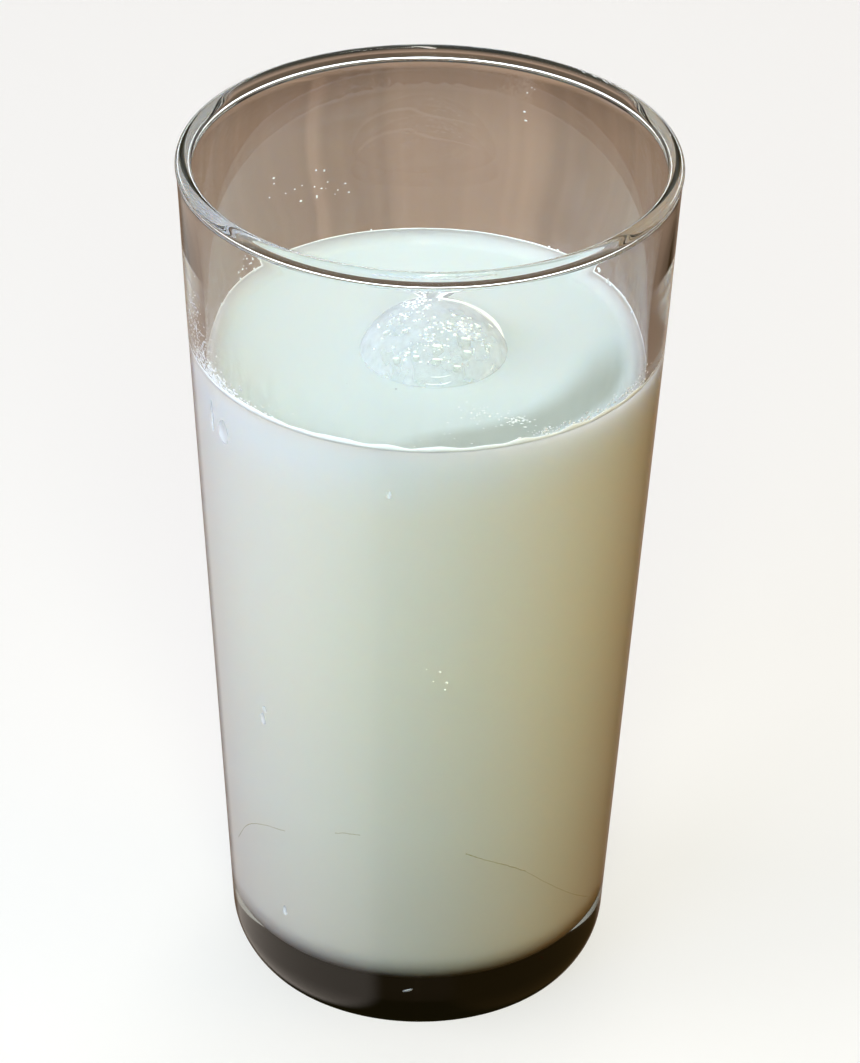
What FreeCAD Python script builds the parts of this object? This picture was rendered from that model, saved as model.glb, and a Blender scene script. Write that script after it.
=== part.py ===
import FreeCAD, Part
import Sketcher
import math
import os

# A straight-sided, slightly tapered drinking glass filled with milk, with one large bubble on it.
# Millimetres, +Z up. The origin is the centre of the foot, on the surface that the glass stands on.

SIZES = {
    "height": 130.0,  # from the surface to the top of the rim
    "rim_radius": 34.9,  # outside wall, carried up to the full height
    "base_radius": 27.4,  # outside wall, carried down to the surface
    "wall": 2.3,  # measured level; the rim is rounded over its whole thickness
    "base_glass": 7.5,  # solid glass between the surface and the milk
    "inner_corner": 6.0,  # radius where the inside wall meets the inside floor
    "heel_inset": 2.4,  # from the base radius in to the edge of the flat foot
    "heel_sweep": 10.0,  # the long radius that draws the outside wall in
    "heel_round": 0.8,  # the short radius that ends it at the foot
    "foot_width": 3.0,  # flat ring that the glass stands on
    "punt_depth": 1.4,  # shallow hollow under the base, inside the ring
    "headspace": 29.9,  # from the top of the rim down to the level milk
    "meniscus_rise": 1.7,  # how far the milk climbs the wall
    "meniscus_curve": 2.6,  # radius of that climb
    "bubble_radius": 10.4,  # its dome, carried down to the level milk
    "bubble_height": 7.2,
    "bubble_collar": 0.9,  # radius of the milk drawn up round the dome's foot
    "bubble_right": 1.0,  # from the axis of the glass, along +X
    "bubble_front": 1.3,  # from the axis of the glass, along -Y
}

# Sketcher's own numbers for the points of an edge, for the origin and for the two sketch axes.
START, END, CENTRE = 1, 2, 3
ORIGIN = (-1, START)
ACROSS, UP = -1, -2


def size(name):
    return SIZES[name]


# ---- document, bodies and sketches ----


def make_sheet(doc):
    sheet = doc.addObject("Spreadsheet::Sheet", "Sizes")
    for row, (name, value) in enumerate(SIZES.items(), start=1):
        sheet.set(f"A{row}", name)
        sheet.set(f"B{row}", str(value))
        sheet.setAlias(f"B{row}", name)
    doc.recompute()
    return sheet


def make_body(doc, label):
    body = doc.addObject("PartDesign::Body", label.capitalize() + "Body")
    body.Label = label
    return body


def make_sketch(body, name):
    """An upright sketch on the body's XZ plane: its X is a radius and its Y is a height."""
    sketch = body.newObject("Sketcher::SketchObject", name)
    plane = next(part for part in body.Origin.OriginFeatures if part.Role == "XZ_Plane")
    sketch.AttachmentSupport = (plane, [""])
    sketch.MapMode = "FlatFace"
    return sketch


def revolve(body, sketch, name):
    turned = body.newObject("PartDesign::Revolution", name)
    turned.Profile = sketch
    turned.ReferenceAxis = (sketch, ["V_Axis"])
    turned.Angle = 360.0
    return turned


# ---- sketch edges and constraints ----


def add_line(sketch, start, end, construction=False):
    edge = Part.LineSegment(FreeCAD.Vector(*start, 0), FreeCAD.Vector(*end, 0))
    return sketch.addGeometry(edge, construction)


def add_arc(sketch, centre, radius, first, last):
    """An arc that runs anticlockwise from the angle first to the angle last, in radians."""
    circle = Part.Circle(FreeCAD.Vector(*centre, 0), FreeCAD.Vector(0, 0, 1), radius)
    return sketch.addGeometry(Part.ArcOfCircle(circle, first, last), False)


def constrain(sketch, kind, *where):
    return sketch.addConstraint(Sketcher.Constraint(kind, *where))


def dimension(sketch, name, kind, where, value, expression):
    """A named dimension, bound to the sheet. Value is only where the sketch starts from."""
    number = sketch.addConstraint(Sketcher.Constraint(kind, *where, value))
    sketch.renameConstraint(number, name)
    sketch.setExpression("Constraints." + name, expression)


def place(sketch, name, edge, point, across=None, up=None):
    """Places an edge's point by its distance across and up from the origin, where each is given
    as a pair of the value and the expression that it follows."""
    for kind, suffix, given in (("DistanceX", "across", across), ("DistanceY", "up", up)):
        if given:
            dimension(sketch, f"{name}_{suffix}", kind, (*ORIGIN, edge, point), *given)


def join(sketch, pairs, kind):
    """Coincident joins two ends at a corner, and Tangent joins them smoothly."""
    for first, first_point, second, second_point in pairs:
        constrain(sketch, kind, first, first_point, second, second_point)


# ---- the wall, which the glass and the milk share ----


def slope():
    return (size("rim_radius") - size("base_radius")) / size("height")


def lean():
    return math.atan(slope())


def outside_radius(up):
    return size("base_radius") + slope() * up


def inside_radius(up):
    return outside_radius(up) - size("wall")


def beside_wall(radius, centre):
    """The point where an arc of this radius and centre touches a wall on its outer side."""
    return (centre[0] + radius * math.cos(lean()), centre[1] - radius * math.sin(lean()))


def add_taper(sketch, name, inset, inset_expression):
    """A construction line along a wall's whole taper, from the standing surface to the rim."""
    bottom = size("base_radius") - inset
    top = size("rim_radius") - inset
    taper = add_line(sketch, (bottom, 0), (top, size("height")), construction=True)
    constrain(sketch, "PointOnObject", taper, START, ACROSS)
    place(sketch, name + "_bottom", taper, START,
          across=(bottom, "Sizes.base_radius" + inset_expression))
    place(sketch, name + "_top", taper, END,
          across=(top, "Sizes.rim_radius" + inset_expression),
          up=(size("height"), "Sizes.height"))
    return taper


def lay_along(sketch, edge, line):
    for point in (START, END):
        constrain(sketch, "PointOnObject", edge, point, line)


def add_inside(sketch, top):
    """The inside of the glass from the height top down to the axis: wall, corner and floor."""
    radius = size("inner_corner")
    floor_up = size("base_glass")
    centre_up = floor_up + radius
    centre = (inside_radius(centre_up) - radius / math.cos(lean()), centre_up)

    taper = add_taper(sketch, "inside", size("wall"), " - Sizes.wall")
    wall = add_line(sketch, (inside_radius(top), top), beside_wall(radius, centre))
    corner = add_arc(sketch, centre, radius, 1.5 * math.pi, 2 * math.pi - lean())
    floor = add_line(sketch, (centre[0], floor_up), (0, floor_up))

    join(sketch, [(wall, END, corner, END), (corner, START, floor, START)], "Tangent")
    lay_along(sketch, wall, taper)
    dimension(sketch, "inner_corner", "Radius", (corner,), radius, "Sizes.inner_corner")
    constrain(sketch, "Horizontal", floor)
    place(sketch, "floor", floor, END, up=(floor_up, "Sizes.base_glass"))
    return wall, floor


# ---- glass ----


def heel_centre(foot_radius):
    """Centre of the sweep, which touches the outside wall and the round at the foot."""
    sweep, small = size("heel_sweep"), size("heel_round")
    gap = size("base_radius") - sweep / math.cos(lean()) - foot_radius
    square = 1 + slope() ** 2
    half_linear = gap * slope() - small
    constant = gap ** 2 + small ** 2 - (sweep - small) ** 2
    up = (-half_linear + math.sqrt(half_linear ** 2 - square * constant)) / square
    return outside_radius(up) - sweep / math.cos(lean()), up


def make_glass(doc):
    body = make_body(doc, "glass")
    sketch = make_sketch(body, "GlassProfile")
    height, depth = size("height"), size("punt_depth")
    foot_radius = size("base_radius") - size("heel_inset")
    punt_radius = foot_radius - size("foot_width")
    punt_sphere = (punt_radius ** 2 + depth ** 2) / (2 * depth)
    small, sweep = size("heel_round"), size("heel_sweep")
    small_centre = (foot_radius, small)
    sweep_centre = heel_centre(foot_radius)
    meeting = math.atan2(small_centre[1] - sweep_centre[1], small_centre[0] - sweep_centre[0])
    rim_round = size("wall") * math.cos(lean()) / 2
    rim_centre = (outside_radius(height - rim_round) - size("wall") / 2, height - rim_round)
    rim_inside = beside_wall(-rim_round, rim_centre)

    foot = add_line(sketch, (punt_radius, 0), (foot_radius, 0))
    heel = add_arc(sketch, small_centre, small, -math.pi / 2, meeting)
    swept = add_arc(sketch, sweep_centre, sweep, meeting, -lean())
    outside = add_line(sketch, beside_wall(sweep, sweep_centre), beside_wall(rim_round, rim_centre))
    rim = add_arc(sketch, rim_centre, rim_round, -lean(), math.pi - lean())
    inside, floor = add_inside(sketch, rim_inside[1])
    axis = add_line(sketch, (0, size("base_glass")), (0, depth))
    punt = add_arc(sketch, (0, depth - punt_sphere), punt_sphere,
                   math.atan2(punt_sphere - depth, punt_radius), math.pi / 2)
    taper = add_taper(sketch, "outside", 0, "")
    rim_level = add_line(sketch, (0, height), (size("rim_radius"), height), construction=True)

    join(sketch, [(foot, END, heel, START), (heel, END, swept, START), (swept, END, outside, START),
                  (outside, END, rim, START), (rim, END, inside, START)], "Tangent")
    join(sketch, [(floor, END, axis, START), (axis, END, punt, END), (punt, START, foot, START)],
         "Coincident")

    lay_along(sketch, outside, taper)
    constrain(sketch, "PointOnObject", rim_level, START, UP)
    constrain(sketch, "Coincident", rim_level, END, taper, END)
    constrain(sketch, "Horizontal", rim_level)
    constrain(sketch, "Tangent", rim, rim_level)
    lay_along(sketch, axis, UP)
    constrain(sketch, "PointOnObject", punt, CENTRE, UP)
    place(sketch, "punt", axis, END, up=(depth, "Sizes.punt_depth"))
    lay_along(sketch, foot, ACROSS)
    place(sketch, "foot", foot, END, across=(foot_radius, "Sizes.base_radius - Sizes.heel_inset"))
    dimension(sketch, "foot_width", "DistanceX", (foot, START, foot, END), size("foot_width"),
              "Sizes.foot_width")
    dimension(sketch, "heel_round", "Radius", (heel,), small, "Sizes.heel_round")
    dimension(sketch, "heel_sweep", "Radius", (swept,), sweep, "Sizes.heel_sweep")

    revolve(body, sketch, "GlassTurned")
    return body


# ---- milk ----


def make_milk(doc):
    body = make_body(doc, "milk")
    sketch = make_sketch(body, "MilkProfile")
    level = size("height") - size("headspace")
    rise, curve = size("meniscus_rise"), size("meniscus_curve")
    top = level + rise
    climb = math.acos((curve - rise) / curve)
    start_across = inside_radius(top) - curve * math.sin(climb)

    surface = add_line(sketch, (0, level), (start_across, level))
    meniscus = add_arc(sketch, (start_across, level + curve), curve,
                       -math.pi / 2, climb - math.pi / 2)
    wall, floor = add_inside(sketch, top)
    axis = add_line(sketch, (0, size("base_glass")), (0, level))

    join(sketch, [(surface, END, meniscus, START)], "Tangent")
    join(sketch, [(meniscus, END, wall, START), (floor, END, axis, START),
                  (axis, END, surface, START)], "Coincident")

    constrain(sketch, "Horizontal", surface)
    lay_along(sketch, axis, UP)
    place(sketch, "level", surface, START, up=(level, "Sizes.height - Sizes.headspace"))
    place(sketch, "contact", wall, START,
          up=(top, "Sizes.height - Sizes.headspace + Sizes.meniscus_rise"))
    dimension(sketch, "meniscus_curve", "Radius", (meniscus,), curve, "Sizes.meniscus_curve")

    revolve(body, sketch, "MilkTurned")
    return body


# ---- bubble ----


def make_bubble(doc):
    """A dome afloat, closed below by the level milk, with a hollow-curved collar at its foot."""
    body = make_body(doc, "bubble")
    sketch = make_sketch(body, "BubbleProfile")
    radius, height, collar = size("bubble_radius"), size("bubble_height"), size("bubble_collar")
    sphere = (radius ** 2 + height ** 2) / (2 * height)
    sphere_up = height - sphere
    collar_across = math.sqrt((sphere + collar) ** 2 - (collar - sphere_up) ** 2)
    meeting = math.atan2(collar - sphere_up, collar_across)

    axis = add_line(sketch, (0, 0), (0, height))
    dome = add_arc(sketch, (0, sphere_up), sphere, meeting, math.pi / 2)
    foot = add_arc(sketch, (collar_across, collar), collar, math.pi + meeting, 1.5 * math.pi)
    under = add_line(sketch, (collar_across, 0), (0, 0))
    mark = sketch.addGeometry(Part.Point(FreeCAD.Vector(radius, 0, 0)), True)

    join(sketch, [(dome, START, foot, START), (foot, END, under, START)], "Tangent")
    join(sketch, [(axis, END, dome, END), (under, END, axis, START)], "Coincident")

    constrain(sketch, "Coincident", axis, START, *ORIGIN)
    constrain(sketch, "Vertical", axis)
    constrain(sketch, "Horizontal", under)
    constrain(sketch, "PointOnObject", dome, CENTRE, UP)
    constrain(sketch, "PointOnObject", mark, START, ACROSS)
    constrain(sketch, "PointOnObject", mark, START, dome)
    place(sketch, "dome", mark, START, across=(radius, "Sizes.bubble_radius"))
    place(sketch, "top", axis, END, up=(height, "Sizes.bubble_height"))
    dimension(sketch, "collar", "Radius", (foot,), collar, "Sizes.bubble_collar")

    revolve(body, sketch, "BubbleTurned")
    body.setExpression("Placement.Base.x", "Sizes.bubble_right")
    body.setExpression("Placement.Base.y", "-Sizes.bubble_front")
    body.setExpression("Placement.Base.z", "Sizes.height - Sizes.headspace")
    return body


# ---- build, check and write ----


def check(doc, bodies):
    for thing in doc.Objects:
        if "Invalid" in thing.State or "Error" in thing.State:
            raise RuntimeError(f"{thing.Label} failed: {thing.State}")
        if thing.isDerivedFrom("Sketcher::SketchObject") and not thing.FullyConstrained:
            raise RuntimeError(f"{thing.Label} is not fully constrained")
    for body in bodies:
        shape = body.Shape
        if shape.isNull() or not shape.isValid() or len(shape.Solids) != 1:
            raise RuntimeError(f"{body.Label} is not one valid solid")


def main():
    doc = FreeCAD.newDocument("GlassOfMilk")
    make_sheet(doc)
    bodies = [make_glass(doc), make_milk(doc), make_bubble(doc)]
    doc.recompute()
    check(doc, bodies)
    os.makedirs("parts", exist_ok=True)
    for body in bodies:
        body.Shape.exportStep(f"parts/{body.Label}.step")
        box = body.Shape.optimalBoundingBox()
        print(f"{body.Label}: {body.Shape.Volume / 1000:.2f} ml, "
              f"{box.XLength:.2f} x {box.YLength:.2f} x {box.ZLength:.2f} mm, from z {box.ZMin:.2f}")


main()
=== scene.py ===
# Looks for a glass of milk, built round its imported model. Metres, +Z up, the bubble's side faces -Y.
import math
import random

import bmesh
import bpy
from mathutils import Matrix, Vector, noise


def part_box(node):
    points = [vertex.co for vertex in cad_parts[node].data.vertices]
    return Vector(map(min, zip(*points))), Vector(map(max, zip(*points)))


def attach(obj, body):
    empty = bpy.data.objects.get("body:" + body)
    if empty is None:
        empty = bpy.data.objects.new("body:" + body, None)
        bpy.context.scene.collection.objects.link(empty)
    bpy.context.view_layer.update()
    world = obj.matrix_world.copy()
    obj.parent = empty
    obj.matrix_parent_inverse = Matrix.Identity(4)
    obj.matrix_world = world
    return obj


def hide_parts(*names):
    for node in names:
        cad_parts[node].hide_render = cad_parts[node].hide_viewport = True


mm = 0.001
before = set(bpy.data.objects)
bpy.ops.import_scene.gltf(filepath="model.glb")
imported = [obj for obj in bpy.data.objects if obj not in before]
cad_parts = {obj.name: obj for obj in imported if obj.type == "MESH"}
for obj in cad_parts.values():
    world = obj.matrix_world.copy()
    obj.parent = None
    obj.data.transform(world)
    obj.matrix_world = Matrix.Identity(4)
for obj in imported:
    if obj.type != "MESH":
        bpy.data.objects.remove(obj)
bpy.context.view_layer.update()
glassLow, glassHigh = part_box("glass")
milkLow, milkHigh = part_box("milk")
bubbleLow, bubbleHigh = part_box("bubble")
print("frame loaded, glass", [round(v / mm, 1) for v in glassHigh - glassLow], "mm")


def linearColour(code):
    # "#rrggbb" in sRGB to the linear colour that a socket takes
    parts = [int(code[i:i + 2], 16) / 255 for i in (1, 3, 5)]
    return (*[p / 12.92 if p <= 0.04045 else ((p + 0.055) / 1.055) ** 2.4 for p in parts], 1.0)


def addNode(tree, kind, settings=None, links=None, stops=None):
    # settings go to the input of that name or number, or else to the node itself
    node = tree.nodes.new(kind)
    for name, value in (settings or {}).items():
        if isinstance(name, int) or name in node.inputs:
            node.inputs[name].default_value = value
        else:
            setattr(node, name, value)
    for name, source in (links or {}).items():
        tree.links.new(source, node.inputs[name])
    if stops:
        ramp = node.color_ramp.elements
        while len(ramp) < len(stops):
            ramp.new(0.5)
        for element, (place, colour) in zip(ramp, sorted(stops)):
            element.position = place
            element.color = linearColour(colour)
    return node


def newMaterial(name):
    material = bpy.data.materials.new(name)
    material.use_nodes = True
    material.node_tree.nodes.clear()
    return material, material.node_tree


def arcPoints(centre, radius, first, last, count):
    # points along an arc, angles in degrees, both ends included
    angles = [math.radians(first + (last - first) * i / count) for i in range(count + 1)]
    return [(centre[0] + radius * math.cos(a), centre[1] + radius * math.sin(a)) for a in angles]


def linePoints(start, end, count):
    # points along a line without its two ends
    return [(start[0] + (end[0] - start[0]) * i / count, start[1] + (end[1] - start[1]) * i / count)
            for i in range(1, count)]


def meshObject(name, bm, material, sharpAngle=None):
    bmesh.ops.recalc_face_normals(bm, faces=bm.faces)
    mesh = bpy.data.meshes.new(name)
    bm.to_mesh(mesh)
    bm.free()
    mesh.shade_smooth()
    if sharpAngle:
        mesh.set_sharp_from_angle(angle=math.radians(sharpAngle))
    piece = bpy.data.objects.new(name, mesh)
    bpy.context.scene.collection.objects.link(piece)
    for one in material if isinstance(material, list) else [material]:
        mesh.materials.append(one)
    return piece


def turnProfile(bm, profile, around, shape=None, centre=(0, 0)):
    # turns (radius, height) points about an upright axis, in mm; shape(point, angle) may bend them
    rings = []
    for radius, height in profile:
        if radius < 1e-6:
            rings.append([bm.verts.new(Vector((centre[0], centre[1], height)) * mm)])
            continue
        ring = []
        for i in range(around):
            angle = 2 * math.pi * i / around
            r, z = shape((radius, height), angle) if shape else (radius, height)
            place = Vector((centre[0] + r * math.cos(angle), centre[1] + r * math.sin(angle), z))
            ring.append(bm.verts.new(place * mm))
        rings.append(ring)
    faces = []
    for low, high in zip(rings, rings[1:]):
        for i in range(max(len(low), len(high))):
            j = (i + 1) % max(len(low), len(high))
            corners = [low[i % len(low)], low[j % len(low)], high[j % len(high)], high[i % len(high)]]
            faces.append(bm.faces.new(list(dict.fromkeys(corners))))
    return faces


def bridge(bm, first, second):
    # faces between two closed rings with as many points
    for i in range(len(first)):
        j = (i + 1) % len(first)
        bm.faces.new([first[i], first[j], second[j], second[i]])


def ownPiece(piece):
    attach(piece, "root")
    return piece


# mm and degrees, in front of the glass; the lens is for a 36 mm sensor
camera = {"distance": 650, "elevation": 32.1, "across": 0.92, "aimHeight": 69.2, "roll": 1.04,
          "lens": 153.4, "sensor": 36, "nearest": 0.01}


def makeCamera(settings):
    data = bpy.data.cameras.new("camera")
    data.lens = settings["lens"]
    data.sensor_width = settings["sensor"]
    data.clip_start = settings["nearest"]
    body = bpy.data.objects.new("camera", data)
    bpy.context.scene.collection.objects.link(body)
    tilt = math.radians(settings["elevation"])
    aim = Vector((settings["across"], 0, settings["aimHeight"])) * mm
    back = Vector((0, -math.cos(tilt), math.sin(tilt)))
    turn = back.to_track_quat("Z", "Y").to_matrix().to_4x4()
    roll = Matrix.Rotation(math.radians(settings["roll"]), 4, "Z")
    body.matrix_world = Matrix.Translation(aim + back * settings["distance"] * mm) @ turn @ roll
    bpy.context.scene.camera = body


def keepColoursPlain():
    # white milk keeps its own tones, without a film curve over them
    bpy.context.scene.view_settings.view_transform = "Standard"


lightPaths = {"max_bounces": 14, "glossy_bounces": 12, "transmission_bounces": 12,
              "transparent_max_bounces": 14, "diffuse_bounces": 3}


def letLightThroughGlass(settings):
    # light runs down inside the wall by many reflections before it meets the milk
    for name, count in settings.items():
        setattr(bpy.context.scene.cycles, name, count)


makeCamera(camera)
keepColoursPlain()
letLightThroughGlass(lightPaths)
print("camera placed")


room = {
    # what clear glass and wet surfaces show, by the height of the direction looked in
    "bands": [(0.0, "#1a1705"), (0.12, "#211d09"), (0.19, "#8d7663"), (0.24, "#a58c78"),
              (0.258, "#ad927b"), (0.266, "#a98e77"), (0.273, "#987e69"), (0.281, "#816b59"),
              (0.31, "#73614f"), (0.37, "#6a5947"), (0.48, "#665643"), (0.55, "#80725a"),
              (0.68, "#8a7d64"), (0.74, "#c3cac6"), (1.0, "#dfe8e6")],
    # lighter and darker upright boards behind, by the direction across
    "boards": [(0.05, "#dcdcdc"), (0.172, "#e0e0e0"), (0.188, "#f4f4f4"), (0.205, "#efefef"),
               (0.231, "#dddddd"), (0.38, "#dedede"), (0.4, "#f3f3f3"), (0.61, "#f1f1f1"),
               (0.64, "#fafafa"), (0.74, "#f8f8f8"), (0.775, "#f0f0f0"), (0.8, "#dcdcdc"),
               (0.93, "#dcdcdc")],
    "boardsReach": 0.0625,  # how far to each side they go
    "boardGrain": 130.0, "boardGrainLow": 0.93, "boardGrainHigh": 1.12,
    # parts of a direction, across, away and up, each from where a tone starts to where it is full
    "sideShade": "#101316", "sideStart": (0.22, 0.45), "sideEnd": (0.75, 0.55),  # dark at both sides
    "sideTop": (0.6, 0.35), "sideBottom": (-0.43, -0.33),
    "lowLeft": "#cfc4ba", "lowRight": "#4d3a1e",  # what the two flanks mirror from below
    "leftFlank": (-0.24, -0.4), "rightFlank": (0.2, 0.4), "flankTop": (-0.36, -0.46),
    "paneColour": "#cfc5c4", "paneAmount": 0.3,  # a pale window shape seen through the back wall
    "paneLeft": (0.0405, 0.0435), "paneRight": (0.054, 0.051), "paneTop": (-0.472, -0.485),
    "paneAway": (0.8, 0.82),
    "windowLow": 0.00, "windowHigh": 0.13, "windowAway": (0.5, 0.75),  # a low bright window behind
    "windowColour": "#f4fbff", "windowStrength": 5.0,
    "tableColour": "#ffe090", "tableStrength": 0.016,  # the little light that comes up through the base
    "tableBelow": (-0.4, -0.7),
    "backdropColour": "#f0f0ef", "backdropStrength": 1.0,
}


def stepBetween(tree, source, low, high):
    # rises smoothly from 0 at low to 1 at high, or falls if low is the larger
    return addNode(tree, "ShaderNodeMapRange", {"interpolation_type": "SMOOTHSTEP", "From Min": low,
                                                "From Max": high}, {"Value": source}).outputs[0]


def times(tree, first, *others):
    for other in others:
        first = addNode(tree, "ShaderNodeMath", {"operation": "MULTIPLY"}, {0: first, 1: other}).outputs[0]
    return first


def mixColours(tree, amount, first, second):
    # first and second are sockets or colour codes
    settings, links = {"data_type": "RGBA"}, {0: amount}
    for place, colour in ((6, first), (7, second)):
        if isinstance(colour, str):
            settings[place] = linearColour(colour)
        else:
            links[place] = colour
    return addNode(tree, "ShaderNodeMix", settings, links).outputs[2]


def makeRoom(settings):
    world = bpy.data.worlds.new("softRoom")
    bpy.context.scene.world = world
    world.use_nodes = True
    tree = world.node_tree
    tree.nodes.clear()
    path = addNode(tree, "ShaderNodeLightPath")
    where = addNode(tree, "ShaderNodeTexCoord")
    axes = addNode(tree, "ShaderNodeSeparateXYZ", links={0: where.outputs["Generated"]})
    across, away, up = axes.outputs["X"], axes.outputs["Y"], axes.outputs["Z"]
    rise = addNode(tree, "ShaderNodeMapRange", {"From Min": -1.0, "From Max": 1.0}, {"Value": up})
    bands = addNode(tree, "ShaderNodeValToRGB", links={0: rise.outputs[0]}, stops=settings["bands"])
    board = addNode(tree, "ShaderNodeMapRange", {"From Min": -settings["boardsReach"],
                                                 "From Max": settings["boardsReach"]}, {"Value": across})
    boards = addNode(tree, "ShaderNodeValToRGB", links={0: board.outputs[0]}, stops=settings["boards"])
    flat = addNode(tree, "ShaderNodeCombineXYZ", links={"X": across})
    grain = addNode(tree, "ShaderNodeTexNoise", {"Scale": settings["boardGrain"], "Detail": 3.0},
                    {"Vector": flat.outputs[0]})
    grainTone = addNode(tree, "ShaderNodeMapRange", {"From Min": 0.3, "From Max": 0.7,
                                                     "To Min": settings["boardGrainLow"],
                                                     "To Max": settings["boardGrainHigh"]},
                        {"Value": grain.outputs[0]})
    boarded = addNode(tree, "ShaderNodeVectorMath", {"operation": "MULTIPLY"},
                      {0: bands.outputs[0], 1: boards.outputs[0]})
    grained = addNode(tree, "ShaderNodeVectorMath", {"operation": "SCALE"},
                      {0: boarded.outputs[0], "Scale": grainTone.outputs[0]})
    # the pane: narrow, and only looking down and away
    pane = times(tree, stepBetween(tree, across, *settings["paneLeft"]),
                 stepBetween(tree, across, *settings["paneRight"]),
                 stepBetween(tree, up, *settings["paneTop"]), stepBetween(tree, away, *settings["paneAway"]))
    paneShare = addNode(tree, "ShaderNodeMath", {"operation": "MULTIPLY", 1: settings["paneAmount"]},
                        {0: pane})
    paned = mixColours(tree, paneShare.outputs[0], grained.outputs[0], settings["paneColour"])
    # the flanks mirror light from low on the left and dark from low on the right
    mirrored = addNode(tree, "ShaderNodeMath", {"operation": "SUBTRACT", 0: 1.0},
                       {1: path.outputs["Is Transmission Ray"]})
    below = times(tree, stepBetween(tree, up, *settings["flankTop"]), mirrored.outputs[0])
    onLeft = times(tree, stepBetween(tree, across, *settings["leftFlank"]), below)
    onRight = times(tree, stepBetween(tree, across, *settings["rightFlank"]), below)
    lit = mixColours(tree, onLeft, paned, settings["lowLeft"])
    shaded = mixColours(tree, onRight, lit, settings["lowRight"])
    side = addNode(tree, "ShaderNodeMath", {"operation": "ABSOLUTE"}, {0: across}).outputs[0]
    dark = times(tree, stepBetween(tree, side, *settings["sideStart"]),
                 stepBetween(tree, side, *settings["sideEnd"]),
                 stepBetween(tree, up, *settings["sideTop"]), stepBetween(tree, up, *settings["sideBottom"]))
    sided = mixColours(tree, dark, shaded, settings["sideShade"])
    # the window: a band low down behind
    aboveSill = addNode(tree, "ShaderNodeMath", {"operation": "GREATER_THAN", 1: settings["windowLow"]},
                        {0: up})
    belowTop = addNode(tree, "ShaderNodeMath", {"operation": "LESS_THAN", 1: settings["windowHigh"]},
                       {0: up})
    windowMask = times(tree, aboveSill.outputs[0], belowTop.outputs[0],
                       stepBetween(tree, away, *settings["windowAway"]))
    seen = addNode(tree, "ShaderNodeBackground", {"Strength": 1.0}, {"Color": sided})
    window = addNode(tree, "ShaderNodeBackground", {"Color": linearColour(settings["windowColour"]),
                                                    "Strength": settings["windowStrength"]})
    roomShade = addNode(tree, "ShaderNodeMixShader", links={0: windowMask, 1: seen.outputs[0],
                                                            2: window.outputs[0]})
    fromBelow = addNode(tree, "ShaderNodeMath", {"operation": "MULTIPLY", 1: settings["tableStrength"]},
                        {0: stepBetween(tree, up, *settings["tableBelow"])})
    table = addNode(tree, "ShaderNodeBackground", {"Color": linearColour(settings["tableColour"])},
                    {"Strength": fromBelow.outputs[0]})
    backdrop = addNode(tree, "ShaderNodeBackground", {"Color": linearColour(settings["backdropColour"]),
                                                      "Strength": settings["backdropStrength"]})
    shiny = addNode(tree, "ShaderNodeMath", {"operation": "MAXIMUM"}, {
        0: path.outputs["Is Glossy Ray"], 1: path.outputs["Is Transmission Ray"]})
    first = addNode(tree, "ShaderNodeMixShader", links={
        0: shiny.outputs[0], 1: table.outputs[0], 2: roomShade.outputs[0]})
    last = addNode(tree, "ShaderNodeMixShader", links={
        0: path.outputs["Is Camera Ray"], 1: first.outputs[0], 2: backdrop.outputs[0]})
    addNode(tree, "ShaderNodeOutputWorld", links={"Surface": last.outputs[0]})


lampAim = Vector((0, 0, 0.08))  # the upper half of the milk
# size and place in metres, power in watts
lamps = {
    "windowLeft": {"place": (-1.2, -0.1, 0.55), "size": 0.9, "colour": "#fdfaff", "power": 11.9},
    "skyAbove": {"place": (0.0, 0.2, 1.5), "size": 1.0, "colour": "#e2edff", "power": 5.6},
    "softBehind": {"place": (0.45, 1.35, 0.4), "size": 1.1, "colour": "#fff8f0", "power": 10.0},
    "warmRight": {"place": (1.25, -0.1, 0.45), "size": 0.8, "colour": "#ffc47c", "power": 5.8},
    "nearFront": {"place": (0.02, -0.46, 0.40), "size": 0.22, "colour": "#f3fddc", "power": 2.2},
    "coolLeft": {"place": (-0.30, -0.34, 0.36), "size": 0.25, "colour": "#a4bef2", "power": 1.3},
}
# two slim strip lamps side by side overhead, the only lamps that shiny surfaces show
twinLamps = {"place": (0.04, 0.22, 1.1), "apart": 0.06, "size": 0.028, "length": 0.6,
             "colour": "#fffaf0", "power": 0.75}


def addLamp(name, place, size, colour, power, stripLength=0.0):
    # a square lamp lights only; a strip also shows in what is glossy
    inReflections = stripLength > 0
    data = bpy.data.lights.new(name, "AREA")
    data.shape = "RECTANGLE" if inReflections else "SQUARE"
    data.size = size
    if inReflections:
        data.size_y = stripLength
    data.energy = power
    data.color = linearColour(colour)[:3]
    lamp = bpy.data.objects.new(name, data)
    bpy.context.scene.collection.objects.link(lamp)
    lamp.location = place
    lamp.rotation_euler = (lampAim - Vector(place)).to_track_quat("-Z", "Y").to_euler()
    lamp.visible_glossy = inReflections
    lamp.visible_transmission = inReflections
    lamp.visible_camera = False


def makeLights():
    for name, settings in lamps.items():
        addLamp(name, settings["place"], settings["size"], settings["colour"], settings["power"])
    for side in (-0.5, 0.5):
        place = Vector(twinLamps["place"]) + Vector((side * twinLamps["apart"], 0, 0))
        addLamp("twinLamp", place, twinLamps["size"], twinLamps["colour"], twinLamps["power"],
                twinLamps["length"])


floorSettings = {"radius": 4.0, "colour": "#a5a3a1", "glow": "#c3c3c2", "roughness": 0.7}


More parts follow.
